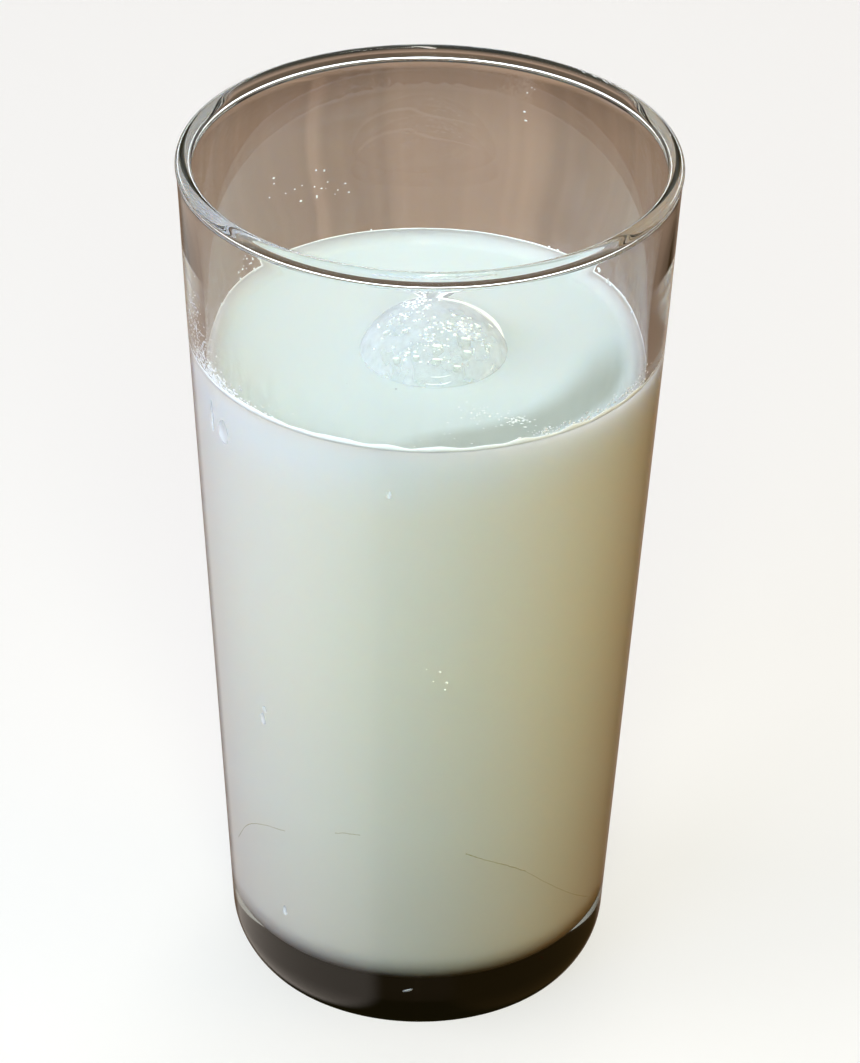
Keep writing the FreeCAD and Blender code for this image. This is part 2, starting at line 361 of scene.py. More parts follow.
def makeFloor(settings):
    # a light sweep that is mostly lit from behind, so that only a soft shadow shows on it
    material, tree = newMaterial("litSweep")
    shader = addNode(tree, "ShaderNodeBsdfPrincipled", {
        "Base Color": linearColour(settings["colour"]), "Roughness": settings["roughness"],
        "Emission Color": linearColour(settings["glow"]), "Emission Strength": 1.0})
    addNode(tree, "ShaderNodeOutputMaterial", links={"Surface": shader.outputs[0]})
    bm = bmesh.new()
    bmesh.ops.create_circle(bm, cap_ends=True, segments=96, radius=settings["radius"])
    floor = meshObject("floor", bm, material)
    # the object is lit by the room and shows the room, and the floor only takes its shadow
    floor.visible_transmission = floor.visible_glossy = floor.visible_diffuse = False


makeRoom(room)
makeLights()
makeFloor(floorSettings)
print("room, lights and floor made")


glass = {
    "wall": 2.3, "baseRadius": 27.4, "rimRadius": 34.9, "corner": 6.0, "heelInset": 2.4, "heelSweep": 10.0,
    "heelRound": 0.8, "footWidth": 3.0, "puntDepth": 1.4,
    "around": 256, "alongWall": 60,
    "ripple": 0.025, "ripplePitch": 16.0,  # faint unevenness of the pressed wall, mm
    # the fire-polished rim: a bead, and under it a wall that is drawn in and thickens again further down
    "beadTurn": 39.0, "neckDepth": 2.2, "neckOut": 0.14, "neckIn": 0.16, "neckFade": 24.0,
    "ior": 1.52, "roughness": 0.0,
    "tint": "#a8a184", "tintDensity": 8.0,  # olive, and only strong through the thick base
}
height = glassHigh.z / mm
slope = (glass["rimRadius"] - glass["baseRadius"]) / height
lean = math.atan(slope)


def outsideRadius(up):
    return glass["baseRadius"] + slope * up


def insideRadius(up):
    return outsideRadius(up) - glass["wall"]


def cornerCentre(inset):
    # the centre of the inside corner; inset is how far a filling reaches into the glass
    up = milkLow.z / mm + glass["corner"]
    return insideRadius(up) - glass["corner"] / math.cos(lean), up


def passLight(tree, shader, clear):
    # shadow and diffuse rays go straight through what is clear, and others meet the shader
    path = addNode(tree, "ShaderNodeLightPath")
    through = addNode(tree, "ShaderNodeMath", {"operation": "MAXIMUM"}, {
        0: path.outputs["Is Shadow Ray"], 1: path.outputs["Is Diffuse Ray"]})
    return addNode(tree, "ShaderNodeMixShader", links={
        0: through.outputs[0], 1: shader.outputs[0], 2: clear.outputs[0]})


def makeGlassMaterial(settings):
    # clear soda-lime glass, pressed and fire-polished: sharp reflections and a dark olive base
    material, tree = newMaterial("sodaLimeGlass")
    shader = addNode(tree, "ShaderNodeBsdfPrincipled", {
        "Base Color": (1, 1, 1, 1), "Roughness": settings["roughness"], "IOR": settings["ior"],
        "Transmission Weight": 1.0})
    clear = addNode(tree, "ShaderNodeBsdfTransparent", {"Color": linearColour("#f4f6f4")})
    mixed = passLight(tree, shader, clear)
    tint = addNode(tree, "ShaderNodeVolumeAbsorption", {
        "Color": linearColour(settings["tint"]), "Density": settings["tintDensity"]})
    addNode(tree, "ShaderNodeOutputMaterial", links={"Surface": mixed.outputs[0], "Volume": tint.outputs[0]})
    return material


def glassProfile(settings):
    foot = settings["baseRadius"] - settings["heelInset"]
    small, sweep = settings["heelRound"], settings["heelSweep"]
    gap = settings["baseRadius"] - sweep / math.cos(lean) - foot
    square, half = 1 + slope ** 2, gap * slope - small
    constant = gap ** 2 + small ** 2 - (sweep - small) ** 2
    up = (-half + math.sqrt(half ** 2 - square * constant)) / square
    sweepCentre = (outsideRadius(up) - sweep / math.cos(lean), up)
    meeting = math.degrees(math.atan2(small - sweepCentre[1], foot - sweepCentre[0]))
    leanDegrees = math.degrees(lean)
    rim = settings["wall"] * math.cos(lean) / 2
    rimCentre = (outsideRadius(height - rim) - settings["wall"] / 2, height - rim)
    floorUp = milkLow.z / mm
    inner = foot - settings["footWidth"]
    sphere = (inner ** 2 + settings["puntDepth"] ** 2) / (2 * settings["puntDepth"])
    punt = [(r, math.sqrt(sphere ** 2 - r ** 2) - sphere + settings["puntDepth"])
            for r in (inner * i / 12 for i in range(13))]
    heel = arcPoints((foot, small), small, -90, meeting, 6)
    swept = arcPoints(sweepCentre, sweep, meeting, -leanDegrees, 16)
    turn = settings["beadTurn"]
    rimArc = arcPoints(rimCentre, rim, -turn, 180 + turn, 36)
    corner = arcPoints(cornerCentre(0), settings["corner"], -leanDegrees, -90, 16)
    outer, inner = neckPoints(rimArc[0], turn, 1), neckPoints(rimArc[-1], turn, -1)
    outside = linePoints(swept[-1], outer[-1], settings["alongWall"]) + outer[::-1]
    inside = inner + linePoints(inner[-1], corner[0], settings["alongWall"])
    floorLine = linePoints(corner[-1], (0, floorUp), 8)
    return punt + heel + swept[1:] + outside + rimArc + inside + corner + floorLine + [(0, floorUp)]


def neckPoints(start, turn, side):
    # under the bead the wall draws in a little, and gets its full thickness again further down
    def wallAt(depth):
        t = min(1, max(0, (depth - glass["neckDepth"]) / (glass["neckFade"] - glass["neckDepth"])))
        drawnIn = (glass["neckOut"] if side > 0 else glass["neckIn"]) * (1 - t * t * (3 - 2 * t))
        up = height - depth
        return ((outsideRadius(up) if side > 0 else insideRadius(up)) - side * drawnIn, up)
    end = wallAt(glass["neckDepth"])
    reach = 1.6 * (start[1] - end[1])
    first = Vector((-side * math.sin(math.radians(turn)), -math.cos(math.radians(turn)))) * reach
    last = Vector((-slope, -1)) * reach
    points = []
    for i in range(1, 13):
        t = i / 12
        place = ((2 * t ** 3 - 3 * t ** 2 + 1) * Vector(start) + (t ** 3 - 2 * t ** 2 + t) * first
                 + (3 * t ** 2 - 2 * t ** 3) * Vector(end) + (t ** 3 - t ** 2) * last)
        points.append((place.x, place.y))
    span = glass["neckFade"] - glass["neckDepth"]
    return points + [wallAt(glass["neckDepth"] + span * i / 24) for i in range(1, 25)]


def rippled(point, angle):
    # moves a wall point in or out by a few hundredths of a millimetre
    radius, up = point
    if up < 9 or radius < 20:
        return point
    pitch = glass["ripplePitch"]
    inner = 40.0 if radius < outsideRadius(up) - glass["wall"] / 2 else 0.0
    place = Vector((radius * math.cos(angle) / pitch, radius * math.sin(angle) / pitch,
                    up / (2.2 * pitch) + inner))
    return radius + glass["ripple"] * noise.noise(place), up


def makeGlass(settings):
    bm = bmesh.new()
    turnProfile(bm, glassProfile(settings), settings["around"], rippled)
    piece = meshObject("tumbler", bm, makeGlassMaterial(settings), 40)
    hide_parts("glass")
    return ownPiece(piece)


makeGlass(glass)
print("glass made")


milk = {
    "reach": 0.12,  # how far it reaches into the wall, mm, so that no air shows between them
    "curve": 2.6, "around": 256,
    "edgeWobble": 0.10, "edgePitch": 6.0,  # unevenness of the line where it meets the wall, mm
    # the surface is a bluer white than the side, painted sky light on the one milk; surfaceShade is the
    # painted shade at the front
    "surfaceColour": "#ebf8fa", "surfaceShade": "#aeb5ab", "frontAmount": 0.22, "bandAmount": 0.75,
    # the side by height, painted light and shade: a bluer top, as if sky light from the surface tints it, and
    # darker towards the bottom, where less light reaches
    "sideColours": [(0.0, "#dbd7cf"), (0.3, "#e9e8e0"), (0.6, "#f1efe4"), (0.88, "#f2f0e9"),
                    (0.94, "#eff1f2"), (1.0, "#e9f0fa")],
    # the painted shade on the front of the surface, in metres away, out from the middle and towards the right
    # front
    "frontShade": (-0.008, -0.026), "bandStart": (0.0195, 0.0245), "bandEnd": (0.0288, 0.0268),
    "bandWay": (0.64, -0.77, 0.0), "bandRight": (0.013, 0.023),
    "scatterDepth": 4.5,  # mm
    "gloss": 0.06, "ior": 1.345,
}
levelUp = bubbleLow.z / mm
contactUp = milkHigh.z / mm


def makeMilkMaterial(name, settings, wet):
    # whole milk: white from fat drops a few microns across, so light spreads a few millimetres in it
    material, tree = newMaterial(name)
    where = addNode(tree, "ShaderNodeTexCoord")
    axes = addNode(tree, "ShaderNodeSeparateXYZ", links={0: where.outputs["Object"]})
    away, up = axes.outputs["Y"], axes.outputs["Z"]
    if wet:
        # painted shade: darker towards the front, where the wall keeps some light off, most of all on the
        # right
        front = addNode(tree, "ShaderNodeMath", {"operation": "MULTIPLY", 1: settings["frontAmount"]},
                        {0: stepBetween(tree, away, *settings["frontShade"])})
        flat = addNode(tree, "ShaderNodeVectorMath", {"operation": "MULTIPLY", 1: (1.0, 1.0, 0.0)},
                       {0: where.outputs["Object"]})
        out = addNode(tree, "ShaderNodeVectorMath", {"operation": "LENGTH"}, {0: flat.outputs[0]})
        toRight = addNode(tree, "ShaderNodeVectorMath", {"operation": "DOT_PRODUCT", 1: settings["bandWay"]},
                          {0: where.outputs["Object"]})
        band = times(tree, stepBetween(tree, out.outputs["Value"], *settings["bandStart"]),
                     stepBetween(tree, out.outputs["Value"], *settings["bandEnd"]),
                     stepBetween(tree, toRight.outputs["Value"], *settings["bandRight"]))
        banded = addNode(tree, "ShaderNodeMath", {"operation": "MULTIPLY", 1: settings["bandAmount"]},
                         {0: band})
        amount = addNode(tree, "ShaderNodeMath", {"operation": "MAXIMUM"}, {0: front.outputs[0],
                                                                           1: banded.outputs[0]})
        colour = mixColours(tree, amount.outputs[0], settings["surfaceColour"], settings["surfaceShade"])
    else:
        # painted light and shade on the side, by height
        share = addNode(tree, "ShaderNodeMapRange", {"From Min": milkLow.z, "From Max": milkHigh.z},
                        {"Value": up})
        colour = addNode(tree, "ShaderNodeValToRGB", links={0: share.outputs[0]},
                         stops=settings["sideColours"]).outputs[0]
    shader = addNode(tree, "ShaderNodeBsdfPrincipled", {
        "Roughness": settings["gloss"], "IOR": settings["ior"],
        "Specular IOR Level": 0.5 if wet else 0.0, "Subsurface Weight": 1.0,
        "Subsurface Radius": (1.0, 0.9, 0.8), "Subsurface Scale": settings["scatterDepth"] * mm},
        {"Base Color": colour})
    addNode(tree, "ShaderNodeOutputMaterial", links={"Surface": shader.outputs[0]})
    return material


def milkProfile(settings):
    # from the middle of the floor out, up the wall and back over the meniscus to the middle
    reach = settings["reach"]
    centre = cornerCentre(0)
    leanDegrees = math.degrees(lean)
    floorUp = milkLow.z / mm - reach
    corner = arcPoints(centre, glass["corner"] + reach, -90, -leanDegrees, 14)
    contact = (insideRadius(contactUp) + reach, contactUp)
    side = linePoints(corner[-1], contact, 40)
    curve = settings["curve"]
    climb = math.acos((curve - (contactUp - levelUp)) / curve)
    start = insideRadius(contactUp) - curve * math.sin(climb)
    meniscus = arcPoints((start, levelUp + curve), curve, math.degrees(climb) - 90, -90, 18)
    surface = linePoints((start, levelUp), (0, levelUp), 30)
    floorLine = [(0, floorUp)] + linePoints((0, floorUp), corner[0], 8)
    return floorLine + corner + side, [contact] + meniscus + surface + [(0, levelUp)]


def wobbledEdge(point, angle):
    radius, up = point
    share = min(1, max(0, (up - levelUp) / (contactUp - levelUp)))
    place = Vector((radius * math.cos(angle), radius * math.sin(angle), 0)) / milk["edgePitch"]
    rise = milk["edgeWobble"] * share * (noise.noise(place) + 0.5 * noise.noise(place * 2.7))
    return radius + slope * rise, up + rise


def makeMilk(settings):
    below, above = milkProfile(settings)
    bm = bmesh.new()
    faces = turnProfile(bm, below + above, settings["around"], wobbledEdge)
    topFaces = faces[-(len(above) - 1) * settings["around"]:]
    for face in topFaces:
        face.material_index = 1
    side = makeMilkMaterial("wholeMilkBehindGlass", settings, False)
    surface = makeMilkMaterial("wholeMilkSurface", settings, True)
    piece = meshObject("milkBody", bm, [side, surface], 40)
    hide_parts("milk")
    return ownPiece(piece)


makeMilk(milk)
print("milk made")


bubble = {"sphereHeight": 7.2, "radius": 10.4, "around": 128, "filmIor": 1.05,
          "filmColour": "#f2f8fb", "mistColour": "#edf3ff", "cloudSize": 3.0,  # mm
          "thinnest": 0.12, "thickest": 0.42, "brimAmount": 0.5,
          # the thick roll of undrained film over the top and down the right, white and glowing a little as a
          # painted highlight along the dome's bright crescent: azimuth, height, half width
          "lip": [(163, 1.4, 0.06), (156, 2.6, 0.09), (147, 3.9, 0.12), (137, 4.8, 0.14), (121, 5.7, 0.22),
                  (97, 6.3, 0.30), (66, 6.7, 0.38), (42, 6.2, 0.46), (31, 5.3, 0.60), (25, 4.3, 0.80),
                  (21, 3.3, 0.98), (17, 2.3, 0.96), (13, 1.4, 0.60), (10, 0.8, 0.16)],
          # thinner glowing lines of painted highlight: inside the lip, and in arcs along the dome's foot
          "innerHighlightLip": [(80, 6.9, 0.05), (55, 6.6, 0.09), (30, 6.0, 0.13), (18, 5.2, 0.16), (13, 4.2, 0.14),
                       (11, 3.2, 0.08)],
          "footHighlightArcs": [[(-96, 0.5, 0.04), (-90, 0.45, 0.08), (-82, 0.5, 0.09), (-76, 0.7, 0.04)],
                       [(-92, 1.35, 0.03), (-84, 1.35, 0.07), (-76, 1.5, 0.03)],
                       [(-55, 0.25, 0.03), (-47, 0.35, 0.07), (-38, 0.6, 0.08), (-30, 1.1, 0.03)]]}
bubbleMiddle = (bubbleLow + bubbleHigh) / 2 / mm


def domeSphere(settings):
    # radius of the dome's sphere and how far its centre lies below the milk
    radius, tall = settings["radius"], settings["sphereHeight"]
    sphere = (radius ** 2 + tall ** 2) / (2 * tall)
    return sphere, sphere - tall


def onDome(azimuth, up, outward=0.0):
    # a point on the dome, given by its azimuth in degrees and its height over the milk in mm
    sphere, sunk = domeSphere(bubble)
    angle = math.radians(azimuth)
    flat = math.sqrt(max(0.0, sphere ** 2 - (up + sunk) ** 2))
    way = Vector((flat * math.cos(angle), flat * math.sin(angle), up + sunk)) / sphere
    return Vector((bubbleMiddle.x, bubbleMiddle.y, levelUp - sunk)) + way * (sphere + outward), way


def makeFilmMaterial(name, settings):
    # a wet film of milk: clear where it has drained, whitish where it has not
    material, tree = newMaterial(name)
    edge = addNode(tree, "ShaderNodeFresnel", {"IOR": settings["filmIor"]})
    clear = addNode(tree, "ShaderNodeBsdfTransparent")
    gloss = addNode(tree, "ShaderNodeBsdfGlossy", {"Roughness": 0.05})
    white = addNode(tree, "ShaderNodeBsdfDiffuse", {"Color": linearColour(settings["mistColour"])})
    brim = addNode(tree, "ShaderNodeBsdfDiffuse", {"Color": linearColour(settings["filmColour"])})
    where = addNode(tree, "ShaderNodeTexCoord")
    cloud = addNode(tree, "ShaderNodeTexNoise", {"Scale": 1 / (settings["cloudSize"] * mm), "Detail": 4.0},
                    {"Vector": where.outputs["Object"]})
    amount = addNode(tree, "ShaderNodeMapRange", {
        "From Min": 0.35, "From Max": 0.7, "To Min": settings["thinnest"], "To Max": settings["thickest"]},
        {"Value": cloud.outputs[0]})
    milky = addNode(tree, "ShaderNodeMixShader", links={
        0: amount.outputs[0], 1: clear.outputs[0], 2: white.outputs[0]})
    facing = addNode(tree, "ShaderNodeLayerWeight", {"Blend": 0.25})
    share = addNode(tree, "ShaderNodeMath", {"operation": "MULTIPLY", 1: settings["brimAmount"]},
                    {0: facing.outputs["Facing"]})
    thick = addNode(tree, "ShaderNodeMixShader", links={
        0: share.outputs[0], 1: milky.outputs[0], 2: brim.outputs[0]})
    whole = addNode(tree, "ShaderNodeMixShader", links={
        0: edge.outputs[0], 1: thick.outputs[0], 2: gloss.outputs[0]})
    addNode(tree, "ShaderNodeOutputMaterial", links={"Surface": whole.outputs[0]})
    return material


def makeFrothMaterial(name, colour, glow=0.0):
    # froth and thick film: many walls in a small space scatter nearly all light, so they look white
    material, tree = newMaterial(name)
    # the glow, where given, is painted light that keeps the piece brighter than the lamps make it
    shader = addNode(tree, "ShaderNodeBsdfPrincipled", {
        "Base Color": linearColour(colour), "Roughness": 0.15, "IOR": 1.34,
        "Emission Color": linearColour(colour), "Emission Strength": glow})
    addNode(tree, "ShaderNodeOutputMaterial", links={"Surface": shader.outputs[0]})
    return material


def addRidge(bm, points, normals, widths, tall=0.6):
    # a low rounded ridge along a line of points on a surface, all in mm
    rings = []
    for i, (point, normal, width) in enumerate(zip(points, normals, widths)):
        along = (points[min(i + 1, len(points) - 1)] - points[max(i - 1, 0)]).normalized()
        aside = along.cross(normal).normalized()
        ring = []
        for k in range(9):
            angle = math.pi * k / 8
            ring.append(bm.verts.new((point + aside * width * math.cos(angle)
                                      + normal * width * (tall * math.sin(angle) - 0.15)) * mm))
        rings.append(ring)
    for first, second in zip(rings, rings[1:]):
        bridge(bm, first, second)
    bm.faces.new(rings[0])
    bm.faces.new(rings[-1])


def smoothRoute(stops, count):
    # a smooth line through stops of any length, by Catmull and Rom
    route = []
    for i in range(len(stops) - 1):
        four = [Vector(stops[min(max(i + k, 0), len(stops) - 1)]) for k in (-1, 0, 1, 2)]
        for j in range(count):
            t = j / count
            route.append(0.5 * (2 * four[1] + (four[2] - four[0]) * t
                                + (2 * four[0] - 5 * four[1] + 4 * four[2] - four[3]) * t * t
                                + (3 * four[1] - 3 * four[2] + four[3] - four[0]) * t ** 3))
    return route + [Vector(stops[-1])]


def addDomeRidge(bm, stops, tall=0.6):
    route = smoothRoute(stops, 8)
    placed = [onDome(azimuth, up, -0.05) for azimuth, up, width in route]
    addRidge(bm, [point for point, way in placed], [way for point, way in placed],
             [max(0.02, stop[2]) for stop in route], tall)


def makeBubble(settings):
    sphere, sunk = domeSphere(settings)
    first = math.degrees(math.atan2(sunk, settings["radius"]))
    dome = arcPoints((0, levelUp - sunk), sphere, first, 90, 40)
    dome[-1] = (0, levelUp + settings["sphereHeight"])
    bm = bmesh.new()
    turnProfile(bm, dome, settings["around"], centre=(bubbleMiddle.x, bubbleMiddle.y))
    piece = meshObject("bubbleDome", bm, makeFilmMaterial("milkFilm", settings))
    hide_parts("bubble")
    ownPiece(piece)
    bm = bmesh.new()
    addDomeRidge(bm, settings["lip"])
    addDomeRidge(bm, settings["innerHighlightLip"])
    for stops in settings["footHighlightArcs"]:
        addDomeRidge(bm, stops)
    # the ridges are white and glow a little: painted highlights along the dome's edges
    material = makeFrothMaterial("filmLipHighlight", "#fbffff", 0.35)
    return ownPiece(meshObject("bubbleLipHighlights", bm, material))


makeBubble(bubble)
print("bubble made")


smallBubbles = {
    "seed": 7,
    # where the finest ones lie thickest: azimuth, height over the milk, spread in mm, how many, radius
    "drifts": [(150, 6.8, 2.6, 46, (0.10, 0.24)), (-150, 5.9, 3.4, 44, (0.08, 0.20)),
               (-75, 6.0, 2.6, 34, (0.10, 0.22)), (-40, 5.6, 2.0, 26, (0.10, 0.26)),
               (-100, 4.2, 3.6, 34, (0.07, 0.18)), (-35, 3.8, 2.4, 16, (0.08, 0.20))],
    # the larger ones, each with a painted highlight, a flat glowing white fleck near its top: azimuth,
    # height, radius
    "large": [(-153, 4.3, 0.55), (-132, 5.4, 0.40), (-87, 4.4, 0.95), (-53, 4.6, 1.00), (-24, 5.1, 0.75),
              (-5, 4.0, 0.55), (-88, 3.1, 0.70), (-57, 3.4, 0.80), (-62, 6.2, 0.55), (-107, 3.3, 0.50),
              (-116, 3.5, 0.40), (-70, 2.2, 0.60), (-125, 2.5, 0.60), (-30, 3.0, 0.50)],
    "bodyColour": "#e4ebd8", "bodyAmount": 0.14, "edgeIor": 1.06,
}


def addBall(bm, place, radius, normal=Vector((0, 0, 1)), flat=1.0, detail=1, stretch=1.0):
    # a ball of that radius in mm, pressed flat along the normal and stretched to the sides
    aside = Vector((1, 0, 0)) - normal * normal.x
    if aside.length < 0.3:
        aside = Vector((0, 1, 0)) - normal * normal.y
    aside.normalize()
    turn = Matrix((aside, normal.cross(aside), normal)).transposed().to_4x4()
    size = Matrix.Diagonal((radius * stretch * mm, radius * mm, radius * flat * mm, 1))
    bmesh.ops.create_icosphere(bm, subdivisions=detail, radius=1.0,
                               matrix=Matrix.Translation(place * mm) @ turn @ size)


def makeClearBubbleMaterial(name, settings):
    # a bubble's own wall: almost clear, faintly green against the milk below
    material, tree = newMaterial(name)
    clear = addNode(tree, "ShaderNodeBsdfTransparent")
    body = addNode(tree, "ShaderNodeBsdfDiffuse", {"Color": linearColour(settings["bodyColour"])})
    gloss = addNode(tree, "ShaderNodeBsdfGlossy", {"Roughness": 0.08})
    faint = addNode(tree, "ShaderNodeMixShader", {0: settings["bodyAmount"]},
                    {1: clear.outputs[0], 2: body.outputs[0]})
    edge = addNode(tree, "ShaderNodeFresnel", {"IOR": settings["edgeIor"]})
    whole = addNode(tree, "ShaderNodeMixShader", links={
        0: edge.outputs[0], 1: faint.outputs[0], 2: gloss.outputs[0]})
    addNode(tree, "ShaderNodeOutputMaterial", links={"Surface": whole.outputs[0]})
    return material


def makeSmallBubbles(settings):
    chance = random.Random(settings["seed"])
    fine = bmesh.new()
    for azimuth, up, spread, count, radii in settings["drifts"]:
        middle = onDome(azimuth, up)[0]
        for _ in range(count):
            place = middle + Vector((chance.gauss(0, spread * 0.5), chance.gauss(0, spread * 0.5), 0))
            aside = place - bubbleMiddle
            flat = math.hypot(aside.x, aside.y)
            sphere, sunk = domeSphere(bubble)
            if flat > bubble["radius"] * 0.9:
                continue
            upThere = math.sqrt(sphere ** 2 - flat ** 2) - sunk
            point, way = onDome(math.degrees(math.atan2(aside.y, aside.x)), upThere, 0.02)
            addBall(fine, point, chance.uniform(*radii), way, 0.6, 1, chance.uniform(0.9, 1.9))
    for azimuth, up, radius in settings["large"]:
        # painted highlight: a flat glowing white fleck on each larger bubble, a little behind its top
        point, way = onDome(azimuth, up, 0.12)
        glint = point + Vector((0.05, 0.35 * radius, 0.25 * radius))
        addBall(fine, glint, 0.17 * radius + 0.07, way, 0.5, 2, 3.2)
    # the fine froth and the painted highlights share one faintly glowing white
    ownPiece(meshObject("bubbleFrothAndGlints", fine, makeFrothMaterial("fineFrothAndGlints", "#fbffff", 0.25)))
    large = bmesh.new()
    for azimuth, up, radius in settings["large"]:
        point, way = onDome(azimuth, up, -0.3 * radius)
        addBall(large, point, radius, way, 0.55, 3)
    ownPiece(meshObject("bubbleCluster", large, makeClearBubbleMaterial("clusterFilm", settings)))


makeSmallBubbles(smallBubbles)
print("small bubbles made")


contactLine = {
    "seed": 21, "steps": 720, "up": 0.42,  # over the milk's edge, mm
    "thin": 0.08, "thick": 0.52, "bubbles": 260, "bubbleRadii": (0.08, 0.26),
}


def onInside(azimuth, up, inward=0.0):
    # a point on the inside of the wall, and the direction away from the wall there
    angle = math.radians(azimuth)
    way = Vector((-math.cos(angle), -math.sin(angle), slope)).normalized()
    depth = max(0.0, min(1.0, (height - up - glass["neckDepth"]) / (glass["neckFade"] - glass["neckDepth"])))
    radius = insideRadius(up) + glass["neckIn"] * (1 - depth * depth * (3 - 2 * depth))
    return Vector((radius * math.cos(angle), radius * math.sin(angle), up)) + way * inward, way


def onOutside(azimuth, up, outward=0.0):
    angle = math.radians(azimuth)
    way = Vector((math.cos(angle), math.sin(angle), -slope)).normalized()
    radius = outsideRadius(up)
    return Vector((radius * math.cos(angle), radius * math.sin(angle), up)) + way * outward, way


def frontShare(azimuth):
    # 1 at the front, 0 at the back
    return 0.5 - 0.5 * math.sin(math.radians(azimuth))


def makeContactLine(settings):
    chance = random.Random(settings["seed"])
    bm = bmesh.new()
    # a white ring of film along the milk's edge, widest and highest at the front and glowing a little: partly
    # the film's real edge, partly a painted highlight along the meniscus
    rings = []
    for i in range(settings["steps"]):
        azimuth = 360 * i / settings["steps"]
        angle = math.radians(azimuth)
        spot = Vector((math.cos(angle), math.sin(angle), 0)) * 9
        share = min(1, max(0, 0.75 + noise.noise(spot) * 0.6)) * frontShare(azimuth)
        width = settings["thin"] + (settings["thick"] - settings["thin"]) * share
        edgeUp = contactUp + milk["edgeWobble"] * 0.5 * noise.noise(spot * 0.4)
        centre, way = onInside(azimuth, edgeUp + settings["up"] * share)
        ring = []
        for k in range(8):
            turn = 2 * math.pi * k / 8
            ring.append(bm.verts.new((centre + way * (0.55 * width * math.sin(turn))
                                      + Vector((0, 0, 1)) * width * math.cos(turn)) * mm))
        rings.append(ring)
    for first, second in zip(rings, rings[1:] + rings[:1]):
        bridge(bm, first, second)
    for _ in range(settings["bubbles"]):
        azimuth = chance.uniform(-180, 180)
        if chance.random() > 0.15 + 0.85 * frontShare(azimuth):
            continue
        radius = chance.uniform(*settings["bubbleRadii"])
        point, way = onInside(azimuth, contactUp + chance.uniform(-0.1, 0.5), 0.6 * radius)
        addBall(bm, point, radius, way, 0.8)
    return ownPiece(meshObject("contactFrothAndHighlight", bm, makeFrothMaterial("edgeFrothAndHighlight", "#f6fbff", 0.14)))


makeContactLine(contactLine)


wallFroth = {
    "seed": 5,
    # azimuth, height, spread along the wall and up it in mm, how many, radii
    "patches": [(-161, 104.6, 2.2, 2.4, 230, (0.05, 0.20)), (-154, 103.0, 2.8, 0.9, 230, (0.06, 0.26)),
                (-162, 109.5, 1.4, 2.4, 60, (0.04, 0.12)), (-144, 102.3, 3.2, 0.45, 150, (0.06, 0.22)),
                (-30, 103.2, 3.0, 0.7, 60, (0.05, 0.15)), (-52, 102.6, 4.0, 0.4, 70, (0.06, 0.18)),
                (150, 104.2, 1.3, 0.9, 12, (0.08, 0.20)), (126, 111.0, 4.0, 1.6, 12, (0.07, 0.17)),
                (116, 109.0, 3.0, 1.6, 8, (0.06, 0.15)), (65, 123.5, 1.0, 2.4, 5, (0.06, 0.14)),
                (35.6, 102.9, 0.25, 0.6, 12, (0.10, 0.22))],
}


def makeWallFroth(settings):
    chance = random.Random(settings["seed"])
    bm = bmesh.new()
    for azimuth, up, along, high, count, radii in settings["patches"]:
        for _ in range(count):
            radius = chance.uniform(*radii)
            turn = math.degrees(chance.gauss(0, along) / insideRadius(up))
            place = max(contactUp - 0.2, chance.gauss(up, high))
            point, way = onInside(azimuth + turn, place, 0.15 * radius)
            addBall(bm, point, radius, way, 0.45, 1, chance.uniform(1.0, 2.2))
    # the froth glows faintly, a painted brightness
    return ownPiece(meshObject("wallFroth", bm, makeFrothMaterial("driedFroth", "#f8fbff", 0.16)))


makeWallFroth(wallFroth)


surfaceFroth = {
    "seed": 12,
    # patches on the milk: across, away (mm), spread, how many, radii
    "patches": [((12.4, -19.4), 1.4, 46, (0.06, 0.17)), ((9.2, -18.4), 1.6, 26, (0.05, 0.13)),
                ((6.2, -17.0), 1.5, 18, (0.05, 0.12)), ((16.5, -22.0), 1.8, 22, (0.05, 0.14)),
                ((-18.0, -16.5), 3.0, 12, (0.05, 0.11)), ((2.0, -24.0), 6.0, 14, (0.05, 0.10))],
    "specks": [(-4.1, -12.1, 0.13), (-10.8, -10.9, 0.09), (-7.6, -13.4, 0.07)],  # darker, mm
}


def makeSurfaceFroth(settings):
    chance = random.Random(settings["seed"])
    bm = bmesh.new()
    for (across, away), spread, count, radii in settings["patches"]:
        for _ in range(count):
            radius = chance.uniform(*radii)
            place = Vector((across + chance.gauss(0, spread), away + chance.gauss(0, spread * 0.6), levelUp))
            if math.hypot(place.x, place.y) < insideRadius(levelUp) - 3:
                addBall(bm, place, radius, flat=0.6, stretch=chance.uniform(1.0, 2.0))
    # the froth glows faintly, a painted brightness
    ownPiece(meshObject("surfaceFroth", bm, makeFrothMaterial("floatingFroth", "#fbffff", 0.14)))
    bm = bmesh.new()
    for across, away, radius in settings["specks"]:
        addBall(bm, Vector((across, away, levelUp)), radius, flat=0.5, detail=2, stretch=1.4)
    ownPiece(meshObject("milkSpecks", bm, makeFrothMaterial("creamSpeck", "#a9aeb4")))


makeSurfaceFroth(surfaceFroth)
print("froth made")


wallFilm = {
    "low": 101.4, "high": 117.0, "around": 240, "along": 40, "inward": 0.03,
    "colour": "#f2f5fb", "most": 0.34,
    "streakSize": 2.2,  # mm across a streak
}


